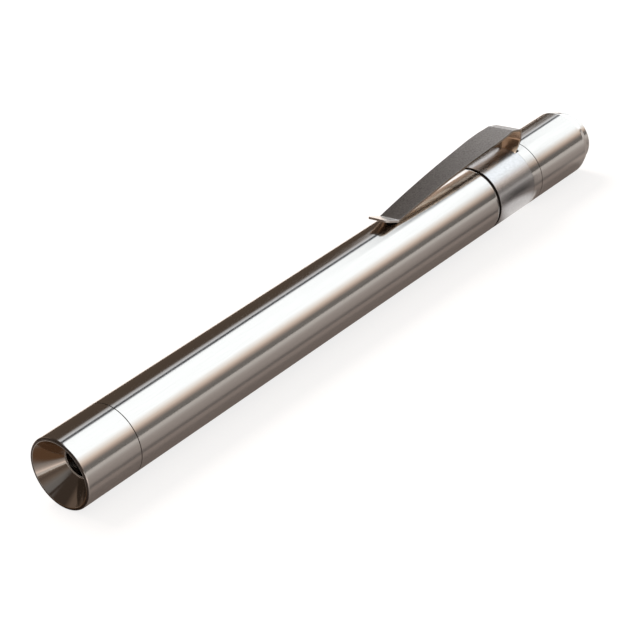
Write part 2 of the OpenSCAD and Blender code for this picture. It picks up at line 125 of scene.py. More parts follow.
class PenlightTurned(bpy.types.PropertyGroup):
    """Sizes of the turned pieces"""
    rim_round: length("Rim rounding", "Radius of the head's front edge", 0.35)
    # Depth of the mouth's edge that gets the near-black seam steel: painted shade
    rim_shade_depth: length("Rim edge", "Depth of the unpolished edge at the mouth", 0.10)
    seam_round: length("Seam rounding", "Radius of the small edges at the seams", 0.06)
    shoulder_round: length("Shoulder rounding", "Radius of the tube's rear shoulder", 0.4)
    band_gap: length("Band gap", "Open groove between the tube and the band", 0.5)
    band_wall: length("Band wall", "Thickness of the clip band and of the collar", 0.4)
    neck_wall: length("Neck wall", "Wall of the tube's threaded necks", 0.55)
    seam: length("Seam", "Width of the hairline seams", 0.05)
    thread_pitch: length("Thread pitch", "Pitch of both neck threads", 1.0)
    thread_depth: length("Thread depth", "Depth of both neck threads", 0.2)
    cone_edge: length("Cone edge", "Flat edge of the reflector at the rim", 0.09)
    cone_edge_round: length("Cone edge rounding", "Radius of the cone's front edge", 0.03)
    cone_throat: length("Cone throat", "Radius of the cone at its floor", 3.0)
    throat_round: length("Throat rounding", "Radius where the cone meets its floor", 0.12)
    cone_depth: length("Cone depth", "Depth of the cone's floor behind the rim", 4.2)
    lamp_hole: length("Lamp hole", "Radius of the hole for the lamp", 2.65)
    hole_round: length("Hole rounding", "Radius of the lamp hole's edge", 0.05)
    taper_length: length("Taper length", "Length of the tail cap's tapered end", 1.3)
    taper_in: length("Taper depth", "How far the taper draws in", 0.45)
    taper_round: length("Taper rounding", "Radius where the taper starts", 0.12)
    end_round: length("End rounding", "Radius of the cap's end edge", 0.06)
    cap_wall: length("Cap end wall", "Thickness of the tail cap's end wall", 1.9)
    cap_rim: length("Cap rim", "Width of the cap's end wall round the button", 1.08)
    button_radius: length("Button radius", "Radius of the push button", 5.37)
    button_round: length("Button rounding", "Radius of the button's outer edge", 0.45)
    button_flange: length("Button flange", "Thickness of the button's flange", 1.05)
    button_wall: length("Button wall", "Thickness of the button's walls", 0.9)
    button_travel: length("Button travel", "How far the button goes in", 1.6)
    lens_radius: length("Lens radius", "Radius of the lamp's lens", 2.5)
    lens_flange: length("Lens flange", "Thickness of the lamp's flange", 1.0)
    segments: IntProperty(name="Segments", description="Steps round each turned piece",
                          default=192, min=48, max=512)


class PenlightClip(bpy.types.PropertyGroup):
    """Sizes of the bent pocket clip"""
    sheet: length("Sheet", "Thickness of the clip's sheet", 0.4)
    root_width: length("Root width", "Width of the tab at the band", 5.7)
    wide_width: length("Widest width", "Width of the arm at its widest", 6.3)
    tip_width: length("Tip width", "Width of the arm at its tip", 4.5)
    root_in: length("Root setback", "Distance of the root from the band's edge", 0.41)
    hinge_gap: length("Hinge gap", "Gap in front of the root", 0.1)
    relief: length("Relief", "Relief in the collar's edge under the tab", 0.8)
    flat_length: length("Flattening", "Length over which the tab flattens", 4.0)
    crown: length("Crown", "Height of the arm's middle over its edges", 0.02)
    root_round: length("Root bend", "Radius of the bend at the root", 0.6)
    tab_length: length("Tab", "Length of the tab", 2.52)
    heel_round: length("Heel bend", "Radius of the heel's bend", 1.0)
    heel_length: length("Heel", "Length of the heel", 1.31)
    turn_round: length("Tight turn", "Radius of the tight turn", 0.62)
    crest_length: length("Crest", "Length of the crest", 2.25)
    crest_round: length("Crest bend", "Radius of the crest's bend", 1.0)
    arm_length: length("Arm", "Length of the arm", 35.1)
    lip_round: length("Lip bend", "Radius of the lip's bend", 1.24)
    lip_length: length("Lip", "Length of the turned-up lip", 3.5)
    rest_gap: length("Rest gap", "Height of the arm's tip over the tube", 0.05)
    edge_round: length("Edge rounding", "Radius of the sheet's cut edges", 0.03)


class PenlightFinish(bpy.types.PropertyGroup):
    """Colours of the finishes"""
    steel: colour("Steel", "Polished steel of the body", (0.60, 0.585, 0.57))
    cone: colour("Reflector", "Polished steel of the reflector", (0.57, 0.535, 0.50))
    band: colour("Band", "Satin steel of the clip band", (0.54, 0.54, 0.55))
    clip: colour("Clip", "Ground steel of the clip's outer face", (0.30, 0.283, 0.275))
    clip_edge: colour("Clip edge", "Cut edges of the clip's sheet", (0.34, 0.29, 0.24))
    # Painted reflection: the inner face's light brown tone stands in for the brown surroundings
    # it mirrors, and lifts the shade in the loop and under the tip
    clip_inside_painted_reflection: colour("Clip inside", "Polished inner face of the clip", (0.74, 0.62, 0.51))
    # Painted highlight: the lip and its edges get this lighter copy of the clip's steel,
    # standing in for the light they catch
    clip_lip_painted_highlight: colour("Clip lip", "Bright steel of the clip's lip", (0.70, 0.68, 0.66))
    # Seams, groove and the mouth's rim edge: unpolished steel, rougher than the rest, whose
    # near-black tone is painted shade
    groove: colour("Groove", "Unpolished steel in the groove", (0.10, 0.085, 0.075))
    brass: colour("Brass", "Brass of the module shell and contacts", (0.66, 0.47, 0.20))
    rubber: colour("Rubber", "Rubber of the two washers", (0.018, 0.018, 0.019))
    white_plastic: colour("White plastic", "Holder and plunger", (0.72, 0.70, 0.65))
    black_plastic: colour("Black plastic", "Switch housing", (0.03, 0.03, 0.032))
    board: colour("Board", "Circuit board", (0.02, 0.13, 0.06))
    copper: colour("Copper", "Contact wire", (0.72, 0.33, 0.14))
    jacket: colour("Cell jacket", "Plain film round the cells", (0.06, 0.10, 0.15))
    drawn_steel: colour("Drawn steel", "Ends of the cells, and springs", (0.60, 0.59, 0.57))
    tin: colour("Tin", "Tinned legs of the lamp", (0.66, 0.65, 0.62))
    ferrite: colour("Ferrite", "Core of the board's coil", (0.035, 0.035, 0.037))
    chip: colour("Chip", "Resin of the board's chip", (0.02, 0.02, 0.022))
    laminate: colour("Laminate", "Insulating disc", (0.55, 0.42, 0.26))


class PenlightStudio(bpy.types.PropertyGroup):
    """The floor, the light tent and the camera"""
    floor: colour("Floor", "Colour of the floor", (0.72, 0.68, 0.64))
    # Painted shadow: the floor's colour greys towards this close to the penlight
    mat: colour("Mat", "Colour of the floor close to the penlight", (0.30, 0.27, 0.25))
    glow: amount("Floor glow", "How much whiter the camera sees the floor", 0.80, max=1.0)
    sheen: amount("Floor sheen", "How much whiter the metal sees the floor", 0.12, max=1.0)
    softbox: amount("Softbox", "Strength of the tent's lit panel", 1.75)
    flag: colour("Dark flag", "Colour of the tent's dark panels", (0.062, 0.044, 0.032))
    front: colour("Front", "Colour of the tent in front of the mouth", (0.060, 0.044, 0.034))
    key: amount("Key light", "Strength of the soft sun lamp", 1.6)
    lens: amount("Lens", "Focal length of the camera in mm", 121.947)


# Mesh tools

def ring_edges(bm, x, r):
    """The edges of the ring at station x with radius r."""
    def on_ring(v):
        return (abs(v.co.x - x) < SAME
                and abs(math.hypot(v.co.y, v.co.z - AXIS_Z) - r) < SAME)
    return [e for e in bm.edges if on_ring(e.verts[0]) and on_ring(e.verts[1])]


def lathe(outline, rounds=(), cuts=()):
    """Spins an outline of (station, radius) pairs round the body's axis.

    rounds are (station, radius, size) of the corners that are rounded, with their
    steps where they aren't EDGE_STEPS, and cuts are stations that get an edge loop,
    so that long walls shade flat.
    """
    segments = bpy.context.scene.penlight_turned.segments
    bm = bmesh.new()
    verts = [bm.verts.new((x, 0.0, AXIS_Z + r)) for x, r in outline]
    count = len(outline)
    edges = [bm.edges.new((verts[i], verts[(i + 1) % count])) for i in range(count)
             if outline[i][1] > 0 or outline[(i + 1) % count][1] > 0]
    bmesh.ops.spin(bm, geom=verts + edges, cent=(0, 0, AXIS_Z), axis=(1, 0, 0),
                   angle=math.tau, steps=segments, use_merge=True)
    bmesh.ops.remove_doubles(bm, verts=bm.verts, dist=MERGE)
    for x, r, size, *steps in rounds:
        bmesh.ops.bevel(bm, geom=ring_edges(bm, x, r), offset=size,
                        segments=steps[0] if steps else EDGE_STEPS, profile=0.5,
                        affect="EDGES", material=-1, clamp_overlap=False)
    for x in cuts:
        bmesh.ops.bisect_plane(bm, geom=bm.verts[:] + bm.edges[:] + bm.faces[:],
                               dist=MERGE, plane_co=(x, 0, 0), plane_no=(1, 0, 0))
    bmesh.ops.recalc_face_normals(bm, faces=bm.faces)
    return bm


def ring(x0, x1, bore):
    """The outline of a plain ring as wide as the body."""
    return [(x0, bore), (x0, BODY_R), (x1, BODY_R), (x1, bore)]


# Half widths of a thread's foot and crest as shares of its pitch, how far the foot
# sinks into the neck, the turns left off at the ends, and the steps in one turn
FOOT_SHARE, CREST_SHARE = 0.40, 0.10
FOOT_SINK = 0.06 * MM
PLAIN_TURNS = 0.9
THREAD_STEPS = 64


def thread_ridge(bm, x0, x1):
    """Adds the helical ridge of a neck thread from station x0 to x1."""
    s = bpy.context.scene.penlight_turned
    top, foot = neck_radius(), neck_radius() - s.thread_depth - FOOT_SINK
    turns = max(1, int((x1 - x0) / s.thread_pitch - PLAIN_TURNS))
    start = x0 + (x1 - x0 - turns * s.thread_pitch) / 2
    outline = [(-FOOT_SHARE, foot), (-CREST_SHARE, top), (CREST_SHARE, top), (FOOT_SHARE, foot)]
    verts = [bm.verts.new((start + a * s.thread_pitch, 0.0, AXIS_Z + r)) for a, r in outline]
    edges = [bm.edges.new((verts[i], verts[(i + 1) % 4])) for i in range(4)]
    made = bmesh.ops.spin(bm, geom=verts + edges, cent=(0, 0, AXIS_Z), axis=(1, 0, 0),
                          dvec=(s.thread_pitch / THREAD_STEPS, 0, 0),
                          angle=math.tau * turns, steps=THREAD_STEPS * turns, use_merge=False)
    ends = edges + [g for g in made["geom_last"] if isinstance(g, bmesh.types.BMEdge)]
    bmesh.ops.holes_fill(bm, edges=ends, sides=4)
    bmesh.ops.recalc_face_normals(bm, faces=bm.faces)


def neck_radius():
    """Outer radius of the tube's threaded necks."""
    return radius_of("head_washer")


def second_finish(bm, test):
    """Gives the piece's second material to the faces whose station and radius pass."""
    for face in bm.faces:
        centre = face.calc_center_median()
        if test(centre.x, math.hypot(centre.y, centre.z - AXIS_Z)):
            face.material_index = 1


def new_object(name, bm, materials=()):
    """Links a new object made of a bmesh, which it frees."""
    mesh = bpy.data.meshes.new(name)
    bm.to_mesh(mesh)
    bm.free()
    for material in materials:
        mesh.materials.append(material)
    obj = bpy.data.objects.new(name, mesh)
    bpy.context.scene.collection.objects.link(obj)
    return obj


def add_piece(name, bm, body, materials, node, sharp=12.0):
    """Makes a piece of a bmesh, smooth but for its sharp edges, that stands for a CAD node."""
    piece = new_object(name, bm, materials)
    for polygon in piece.data.polygons:
        polygon.use_smooth = True
    piece.data.set_sharp_from_angle(angle=math.radians(sharp))
    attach(piece, body)
    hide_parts(node)
    return piece


def cut_relief(bm):
    """Cuts the clip tab's relief out of the band or the collar."""
    c = bpy.context.scene.penlight_clip
    x0 = BAND[1].x - c.root_in - c.hinge_gap
    x1 = COLLAR[0].x + c.relief
    width = c.root_width + c.sheet
    cutter = bmesh.new()
    bmesh.ops.create_cube(cutter, size=1.0, matrix=Matrix.Translation(
        ((x0 + x1) / 2, 0, AXIS_Z + BODY_R)) @ Matrix.Diagonal((x1 - x0, width, BODY_R, 1)))
    tool, blank = new_object("relief_cutter", cutter), new_object("relief_blank", bm)
    cut = blank.modifiers.new("relief", "BOOLEAN")
    cut.operation = "DIFFERENCE"
    cut.solver = "EXACT"
    cut.object = tool
    bpy.context.view_layer.update()
    done = bmesh.new()
    done.from_object(blank, bpy.context.evaluated_depsgraph_get())
    for obj in (tool, blank):
        mesh = obj.data
        bpy.data.objects.remove(obj)
        bpy.data.meshes.remove(mesh)
    return done


# Finishes

def feed(tree, socket, value):
    """Sets a socket to a number or a colour, or links another socket to it."""
    if isinstance(value, bpy.types.NodeSocket):
        tree.links.new(value, socket)
    elif isinstance(value, (int, float)):
        socket.default_value = value
    else:
        socket.default_value = (*value, 1.0)


def new_node(tree, kind, settings):
    """A node with settings by the names or numbers of its sockets."""
    node = tree.nodes.new(kind)
    for socket, value in settings.items():
        feed(tree, node.inputs[socket], value)
    return node


def new_material(name, settings, kind="ShaderNodeBsdfPrincipled"):
    """A material that holds only one shader, with settings by the names of its sockets."""
    material = bpy.data.materials.new(name)
    material.use_nodes = True
    tree = material.node_tree
    tree.nodes.clear()
    shader = new_node(tree, kind, settings)
    new_node(tree, "ShaderNodeOutputMaterial", {"Surface": shader.outputs[0]})
    return material, tree, shader


def object_place(tree):
    """The socket of the Object coordinates."""
    return tree.nodes.new("ShaderNodeTexCoord").outputs["Object"]


def grain(tree, scale, stretch=(1, 1, 1), detail=3.0):
    """Noise on Object coordinates; scale is in waves per millimetre."""
    mapping = new_node(tree, "ShaderNodeMapping", {"Vector": object_place(tree)})
    mapping.inputs["Scale"].default_value = [scale * k / MM for k in stretch]
    noise = new_node(tree, "ShaderNodeTexNoise", {
        "Vector": mapping.outputs["Vector"], "Scale": 1.0, "Detail": detail})
    return noise.outputs["Fac"]


def ramp(tree, source, stops):
    """A colour ramp over source, with stops of (position, grey or colour)."""
    node = new_node(tree, "ShaderNodeValToRGB", {"Fac": source})
    elements = node.color_ramp.elements
    while len(elements) > 1:
        elements.remove(elements[-1])
    for i, (position, value) in enumerate(stops):
        stop = elements[0] if i == 0 else elements.new(position)
        stop.position = position
        tone = (value,) * 3 if isinstance(value, float) else value
        stop.color = (*tone, 1.0)
    return node.outputs["Color"]


def bump(tree, shader, height, strength, depth):
    """Feeds a height into the shader's normal; depth is in millimetres."""
    node = new_node(tree, "ShaderNodeBump", {
        "Strength": strength, "Distance": depth * MM, "Height": height})
    tree.links.new(node.outputs["Normal"], shader.inputs["Normal"])


def vary(tree, socket, noise, low, high):
    """Lets a socket go from low to high over the noise's usual range."""
    usual_low, usual_high = 0.3, 0.7
    tree.links.new(ramp(tree, noise, [(usual_low, low), (usual_high, high)]), socket)


def mottled(tree, shader, noise, tone, spread):
    """Base colour that varies a little round its tone with the noise."""
    low = [max(0.0, c * (1 - spread)) for c in tone]
    high = [min(1.0, c * (1 + spread)) for c in tone]
    vary(tree, shader.inputs["Base Color"], noise, low, high)


def grained(name, tone, roughness, scale, stretch=(1, 1, 1), detail=3.0, spread=0.10,
            strength=0.3, depth=0.02, metallic=1.0, coat=0.0):
    """A finish whose one grain varies its tone and its height."""
    material, tree, shader = new_material(name, {
        "Metallic": metallic, "Roughness": roughness, "Coat Weight": coat})
    noise = grain(tree, scale, stretch, detail)
    mottled(tree, shader, noise, tone, spread)
    bump(tree, shader, noise, strength, depth)
    return material


def polished_steel(name, tone, roughness=0.13, wander=0.02):
    """Buffed steel: fine lines along the body and a faint orange peel."""
    material, tree, shader = new_material(name, {"Metallic": 1.0})
    lines = grain(tree, scale=6.0, stretch=(0.03, 1, 1), detail=4.0)
    mottled(tree, shader, lines, tone, spread=0.025)
    vary(tree, shader.inputs["Roughness"], lines, roughness - wander, roughness + wander)
    bump(tree, shader, grain(tree, scale=4.0, detail=2.0), strength=0.3, depth=0.004)
    return material


def satin_steel(name, tone, roughness, spread=0.10, scale=4.5):
    """Bead-blasted steel with a fine, even grain."""
    return grained(name, tone, roughness, scale, spread=spread, strength=0.25, depth=0.006)


def plain_metal(name, tone, roughness=0.25):
    """Drawn or stamped metal with faint tool lines."""
    return grained(name, tone, roughness, 4.0, stretch=(0.2, 1, 1), strength=0.15, depth=0.005)


def shaded_seam_steel(name, tone):
    """Unpolished steel down in a seam or a groove, whose near-black tone is painted shade."""
    return plain_metal(name, tone, roughness=0.5)


def moulded(name, tone, roughness=0.45, texture=3.0):
    """Moulded plastic or rubber with a fine surface texture."""
    return grained(name, tone, roughness, texture, detail=2.0, spread=0.12, metallic=0.0)


def clear_resin(name, tone=(0.93, 0.95, 0.97), clearest=0.02, haziest=0.05):
    """Clear cast resin of the lamp's lens."""
    material, tree, shader = new_material(name, {"Transmission Weight": 1.0, "IOR": 1.5})
    speckle = grain(tree, scale=1.5, detail=1.0)
    mottled(tree, shader, speckle, tone, spread=0.02)
    vary(tree, shader.inputs["Roughness"], speckle, clearest, haziest)
    return material


def shrink_film(name, tone):
    """Plain shrink film of the cells, under a thin gloss."""
    return grained(name, tone, 0.3, 2.0, stretch=(0.1, 1, 1), detail=2.0, spread=0.15,
                   strength=0.1, depth=0.01, metallic=0.0, coat=0.3)


def polished_pair(label):
    """Polished steel, and the unpolished steel of the seam beside it, darkened as painted
    shade.
    """
    f = bpy.context.scene.penlight_finish
    return [polished_steel(label + "_steel", f.steel), shaded_seam_steel(label + "_seam", f.groove)]


# Pieces

# Steps of the roundings, and how far from an edge the loops lie that keep long walls flat
EDGE_STEPS, THROAT_STEPS, ROUND_STEPS, LENS_STEPS = 3, 5, 10, 20
SEAM_LOOP, TAPER_LOOP, RIM_LOOP, SHOULDER_LOOP = 0.2 * MM, 0.4 * MM, 0.6 * MM, 0.7 * MM


class PENLIGHT_OT_head(bpy.types.Operator):
    """Builds the head: its shell with the rounded rim, and the polished cone inside"""
    bl_idname = "penlight.head"
    bl_label = "Head"

    def execute(self, context):
        s = context.scene.penlight_turned
        cone_steel = context.scene.penlight_finish.cone
        x0, x1 = HEAD[0].x, HEAD[1].x
        cone_r = radius_of("reflector")
        bore = cone_r + HAIR
        shell = lathe(ring(x0, x1, bore),
                      [(x0, BODY_R, s.rim_round, ROUND_STEPS), (x1, BODY_R, s.seam_round)],
                      [x0 + RIM_LOOP, x1 - SEAM_LOOP])
        # The rear seam and the mouth's rim edge get the near-black seam steel: painted shade
        second_finish(shell, lambda x, r: x > x1 - s.seam_round or x < x0 + s.rim_shade_depth)
        add_piece("head_shell_polished", shell, "head", polished_pair("head"),
                  "head_shell")
        back = CONE[1].x
        floor = x0 + s.cone_depth
        mouth_r = cone_r - s.cone_edge
        cone = lathe([(x0, mouth_r), (x0, cone_r), (back, cone_r), (back, s.lamp_hole),
                      (floor, s.lamp_hole), (floor, s.cone_throat)],
                     [(x0, mouth_r, s.cone_edge_round),
                      (floor, s.cone_throat, s.throat_round, THROAT_STEPS),
                      (floor, s.lamp_hole, s.hole_round)])
        add_piece("reflector_cone", cone, "head",
                  [polished_steel("reflector_steel", cone_steel, roughness=0.09)],
                  "reflector")
        return {"FINISHED"}


class PENLIGHT_OT_lamp(bpy.types.Operator):
    """Builds the lamp's clear bullet lens"""
    bl_idname = "penlight.lamp"
    bl_label = "Lamp lens"

    def execute(self, context):
        s = context.scene.penlight_turned
        x0, x1 = LENS[0].x, LENS[1].x
        flange = x1 - s.lens_flange
        lens = lathe([(x0, 0), (x0, s.lens_radius), (flange, s.lens_radius),
                      (flange, radius_of("lamp_lens")), (x1, radius_of("lamp_lens")), (x1, 0)],
                     [(x0, s.lens_radius, s.lens_radius - HAIR, LENS_STEPS)])
        add_piece("lamp_lens_clear", lens, "barrel", [clear_resin("lamp_resin")],
                  "lamp_lens", sharp=30.0)
        return {"FINISHED"}


class PENLIGHT_OT_tube(bpy.types.Operator):
    """Builds the long polished tube with its open groove and its two threaded necks"""
    bl_idname = "penlight.tube"
    bl_label = "Tube"

    def execute(self, context):
        s = context.scene.penlight_turned
        f = context.scene.penlight_finish
        bore = neck_radius() - s.neck_wall
        root = neck_radius() - s.thread_depth
        front, shoulder = HEAD[1].x + s.seam, BAND[0].x - s.band_gap
        seat = BODY_R - s.band_wall - HAIR
        rear = COLLAR[1].x
        tube = lathe([(TUBE[0].x, bore), (TUBE[0].x, root), (front, root), (front, BODY_R),
                      (shoulder, BODY_R), (shoulder, seat), (rear, seat), (rear, root),
                      (TUBE[1].x, root), (TUBE[1].x, bore)],
                     [(front, BODY_R, s.seam_round),
                      (shoulder, BODY_R, s.shoulder_round, ROUND_STEPS)],
                     [front + SEAM_LOOP, shoulder - SHOULDER_LOOP])
        thread_ridge(tube, TUBE[0].x, front)
        thread_ridge(tube, rear, TUBE[1].x)
        # The open groove and the front seam get the near-black seam steel: painted shade
        second_finish(tube, lambda x, r: shoulder - SAME < x < rear and r < BODY_R - HAIR
                      or front - SAME < x < front + s.seam_round and r > root)
        add_piece("barrel_tube_polished", tube, "barrel",
                  [polished_steel("tube_steel", f.steel), shaded_seam_steel("groove_shade_steel", f.groove)],
                  "barrel_tube")
        return {"FINISHED"}


class PENLIGHT_OT_band(bpy.types.Operator):
    """Builds the satin clip band and the polished collar ring behind it"""
    bl_idname = "penlight.band"
    bl_label = "Band and collar"

    def execute(self, context):
        s = context.scene.penlight_turned
        f = context.scene.penlight_finish
        bore = BODY_R - s.band_wall
        x0, x1 = BAND[0].x, BAND[1].x
        band = lathe(ring(x0, x1, bore), [(x0, BODY_R, s.seam_round)], [x0 + SEAM_LOOP])
        # The band's front face, down in the groove, gets the near-black seam steel: painted
        # shade
        second_finish(band, lambda x, r: x < x0 + SAME)
        add_piece("clip_band_satin", cut_relief(band), "barrel",
                  [satin_steel("band_steel", f.band, roughness=0.25),
                   shaded_seam_steel("band_edge_shade", f.groove)],
                  "clip_band")
        x0, x1 = COLLAR[0].x, COLLAR[1].x
        collar = lathe(ring(x0, x1, bore), [(x1, BODY_R, s.seam_round)], [x1 - SEAM_LOOP])
        # The collar's rear seam gets the near-black seam steel: painted shade
        second_finish(collar, lambda x, r: x > x1 - s.seam_round)
        add_piece("collar_ring_polished", cut_relief(collar), "barrel",
                  polished_pair("collar"), "collar_ring")
        return {"FINISHED"}


class PENLIGHT_OT_tail(bpy.types.Operator):
    """Builds the tail cap with its tapered end, and the push button"""
    bl_idname = "penlight.tail"
    bl_label = "Tail cap and button"

    def execute(self, context):
        s = context.scene.penlight_turned
        steel = context.scene.penlight_finish.steel
        bore = radius_of("reflector") + HAIR
        x0, x1 = CAP[0].x, CAP[1].x
        wall, taper = x1 - s.cap_wall, x1 - s.taper_length
        hole, end_r = BODY_R - s.cap_rim, BODY_R - s.taper_in
        cap = lathe([(x0, bore), (x0, BODY_R), (taper, BODY_R), (x1, end_r), (x1, hole),
                     (wall, hole), (wall, bore)],
                    [(x0, BODY_R, s.seam_round), (taper, BODY_R, s.taper_round),
                     (x1, end_r, s.end_round)],
                    [x0 + SEAM_LOOP, taper - TAPER_LOOP])
        # The cap's front seam gets the near-black seam steel: painted shade
        second_finish(cap, lambda x, r: x < x0 + s.seam_round)
        add_piece("tail_cap_polished", cap, "tail_cap", polished_pair("cap"), "tail_cap")
        x0, x1 = BUTTON[0].x, BUTTON[1].x
        flange, r = x0 + s.button_flange, s.button_radius
        floor, inner = x1 - s.button_wall, r - s.button_wall
        button = lathe([(x0, inner), (x0, radius_of("button")), (flange, radius_of("button")),
                        (flange, r), (x1, r), (x1, 0), (floor, 0), (floor, inner)],
                       [(x1, r, s.button_round, ROUND_STEPS)])
        add_piece("button_polished", button, "button",
                  [polished_steel("button_steel", steel)], "button")
        return {"FINISHED"}


# The clip's columns of faces, the steps of its lip, and its direction in degrees after
# the root, the heel, the tight turn and the crest, with the rise of its lip
CLIP_COLUMNS, LIP_BEND_STEPS, LIP_STEPS = 12, 10, 32
CLIP_DIRECTIONS = (42.0, 73.5, 164.0, 182.2, 23.0)


def seat_height(c, y):
    """Height over the axis of the clip's inner face where it is curved like the tube."""
    return math.sqrt((BODY_R - c.sheet) ** 2 - y * y)


def walk(start, stretches):
    """Points as (station, height, direction in radians, length so far) from the start.

    A stretch is a bend as (radius, turn in degrees, steps) or a straight run as
    (0, length, steps).
    """
    x, z, heading, run = start
    points = [start]
    for radius, extent, steps in stretches:
        for _ in range(steps):
            turn = math.radians(extent) / steps if radius else 0.0
            step = 2 * radius * math.sin(abs(turn) / 2) if radius else extent / steps
            x += step * math.cos(heading + turn / 2)
            z += step * math.sin(heading + turn / 2)
            heading += turn
            run += step
            points.append((x, z, heading, run))
    return points


def clip_stations(c):
    """The points of the clip's run, whose arm bends until its tip rests on the tube."""
    root_a, heel_a, crest_a, arm_a, lip_a = CLIP_DIRECTIONS
    root = (BAND[1].x - c.root_in, AXIS_Z + seat_height(c, c.root_width / 2), 0.0, 0.0)
    loop = walk(root, [(c.root_round, root_a, 8), (0, c.tab_length, 8),
                       (c.heel_round, heel_a - root_a, 8), (0, c.heel_length, 4),
                       (c.turn_round, crest_a - heel_a, 20), (0, c.crest_length, 4),
                       (c.crest_round, arm_a - crest_a, 8)])
    crest = loop.pop()
    rest_z = AXIS_Z + BODY_R + c.sheet + c.rest_gap - c.crown
    sag = crest[1] - rest_z - c.arm_length * math.sin(math.radians(arm_a - 180))
    arm_r = c.arm_length ** 2 / 2 / sag
    end_a = arm_a + math.degrees(c.arm_length / arm_r)
    return loop + walk(crest, [(arm_r, end_a - arm_a, 40),
                               (c.lip_round, 180 - lip_a - end_a, LIP_BEND_STEPS),
                               (0, c.lip_length, LIP_STEPS)])


def clip_width(c, share):
    """Width of the clip at a share of its length."""
    width_shares = [(0, c.root_width), (0.17, c.root_width), (0.24, c.wide_width * 0.99),
                    (0.3, c.wide_width), (0.36, c.wide_width * 0.965),
                    (0.43, c.wide_width * 0.92), (0.91, c.tip_width), (0.98, c.tip_width),
                    (0.99, c.tip_width * 0.94), (0.995, c.tip_width * 0.87),
                    (1, c.tip_width * 0.74)]
    for (s0, w0), (s1, w1) in zip(width_shares, width_shares[1:]):
        if share <= s1:
            return w0 + (w1 - w0) * (share - s0) / (s1 - s0)
    return w1


class PENLIGHT_OT_clip(bpy.types.Operator):
    """Bends the pocket clip out of one strip of sheet"""
    bl_idname = "penlight.clip"
    bl_label = "Pocket clip"

    def execute(self, context):
        c = context.scene.penlight_clip
        f = context.scene.penlight_finish
        stations = clip_stations(c)
        total = stations[-1][3]
        bm = bmesh.new()

        def across(station):
            x, z, heading, run = station
            w = clip_width(c, run / total)
            part = min(1.0, run / c.flat_length)
            fade = part * part * (3 - 2 * part)
            for k in range(CLIP_COLUMNS + 1):
                side = 2 * k / CLIP_COLUMNS - 1
                y = side * w / 2
                arch = (1 - fade) * (seat_height(c, y) - seat_height(c, w / 2))
                crown = fade * c.crown * (1 - side * side)
                yield Vector((x + math.sin(heading) * crown, y,
                              z - math.cos(heading) * crown + arch))

        row = [bm.verts.new(p) for p in across(stations[0])]
        edges = [bm.edges.new(pair) for pair in zip(row, row[1:])]
        for station in stations[1:]:
            made = bmesh.ops.extrude_edge_only(bm, edges=edges)["geom"]
            edges = [g for g in made if isinstance(g, bmesh.types.BMEdge)
                     and all(v in made for v in g.verts)]
            row = sorted((g for g in made if isinstance(g, bmesh.types.BMVert)),
                         key=lambda v: v.co.y)
            for vert, point in zip(row, across(station)):
                vert.co = point
        bmesh.ops.recalc_face_normals(bm, faces=bm.faces)
        bm.faces.ensure_lookup_table()
        if bm.faces[0].normal.z < 0:
            bmesh.ops.reverse_faces(bm, faces=bm.faces)
        outer = set(bm.verts)
        bmesh.ops.solidify(bm, geom=bm.faces[:], thickness=-c.sheet)
        # Faces ahead of lip_start, the lip's outer face and cut edges, get the lighter steel of
        # the painted highlight
        lip_start = stations[-1 - LIP_STEPS - LIP_BEND_STEPS // 2][0]
        for face in bm.faces:
            shared = sum(v in outer for v in face.verts)
            if shared == 0:
                face.material_index = 1
            elif face.calc_center_median().x < lip_start:
                face.material_index = 3
            else:
                face.material_index = 0 if shared == len(face.verts) else 2
        corners = [e for e in bm.edges if e.is_manifold
                   and e.calc_face_angle() > math.radians(60)]
        bmesh.ops.bevel(bm, geom=corners, offset=c.edge_round, segments=2, profile=0.5,
                        affect="EDGES", material=-1)
        add_piece("clip_arm_sprung", bm, "clip",
                  [satin_steel("clip_steel", f.clip, roughness=0.34, spread=0.30, scale=3.4),
                   # The inner face's light brown tone is a painted reflection
                   polished_steel("clip_inner_painted_reflection", f.clip_inside_painted_reflection, roughness=0.18),
                   plain_metal("clip_cut_edge", f.clip_edge, roughness=0.2),
                   # The lip's lighter steel is a painted highlight
                   polished_steel("clip_lip_steel", f.clip_lip_painted_highlight, roughness=0.24)],
                  "clip_arm", sharp=20.0)
        return {"FINISHED"}


class PENLIGHT_OT_inside(bpy.types.Operator):
    """Gives the CAD pieces inside the body their finishes"""
    bl_idname = "penlight.inside"
    bl_label = "Inside finishes"

    def execute(self, context):
        f = context.scene.penlight_finish
        finishes = {
            moulded("washer_rubber", f.rubber, 0.6): ["head_washer", "tail_washer"],
            plain_metal("tinned_wire", f.tin): ["lamp_legs"],
            moulded("white_moulding", f.white_plastic): ["lamp_holder", "switch_plunger"],
            plain_metal("drawn_brass", f.brass): ["module_shell", "front_contact",
                                                  "switch_retainer", "switch_contact",
                                                  "contact_plate"],
            moulded("board_laminate", f.board, 0.35, texture=5.0): ["driver_board"],
            moulded("coil_ferrite", f.ferrite, 0.6): ["board_coil"],
            moulded("chip_resin", f.chip, 0.5): ["board_chip"],
            plain_metal("copper_wire", f.copper): ["contact_wire"],
            moulded("tan_laminate", f.laminate, 0.5): ["module_insulator"],
            shrink_film("cell_film", f.jacket): ["front_cell_can", "rear_cell_can"],
            plain_metal("cell_steel", f.drawn_steel): ["front_cell_cap", "front_cell_base",
                                                       "rear_cell_cap", "rear_cell_base"],
            moulded("black_moulding", f.black_plastic): ["switch_housing"],
            plain_metal("spring_steel", f.drawn_steel, 0.2): ["battery_spring",
                                                              "button_spring"],
        }
        for material, nodes in finishes.items():
            for node in nodes:
                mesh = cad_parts[node].data
                mesh.materials.clear()
                mesh.materials.append(material)
        return {"FINISHED"}


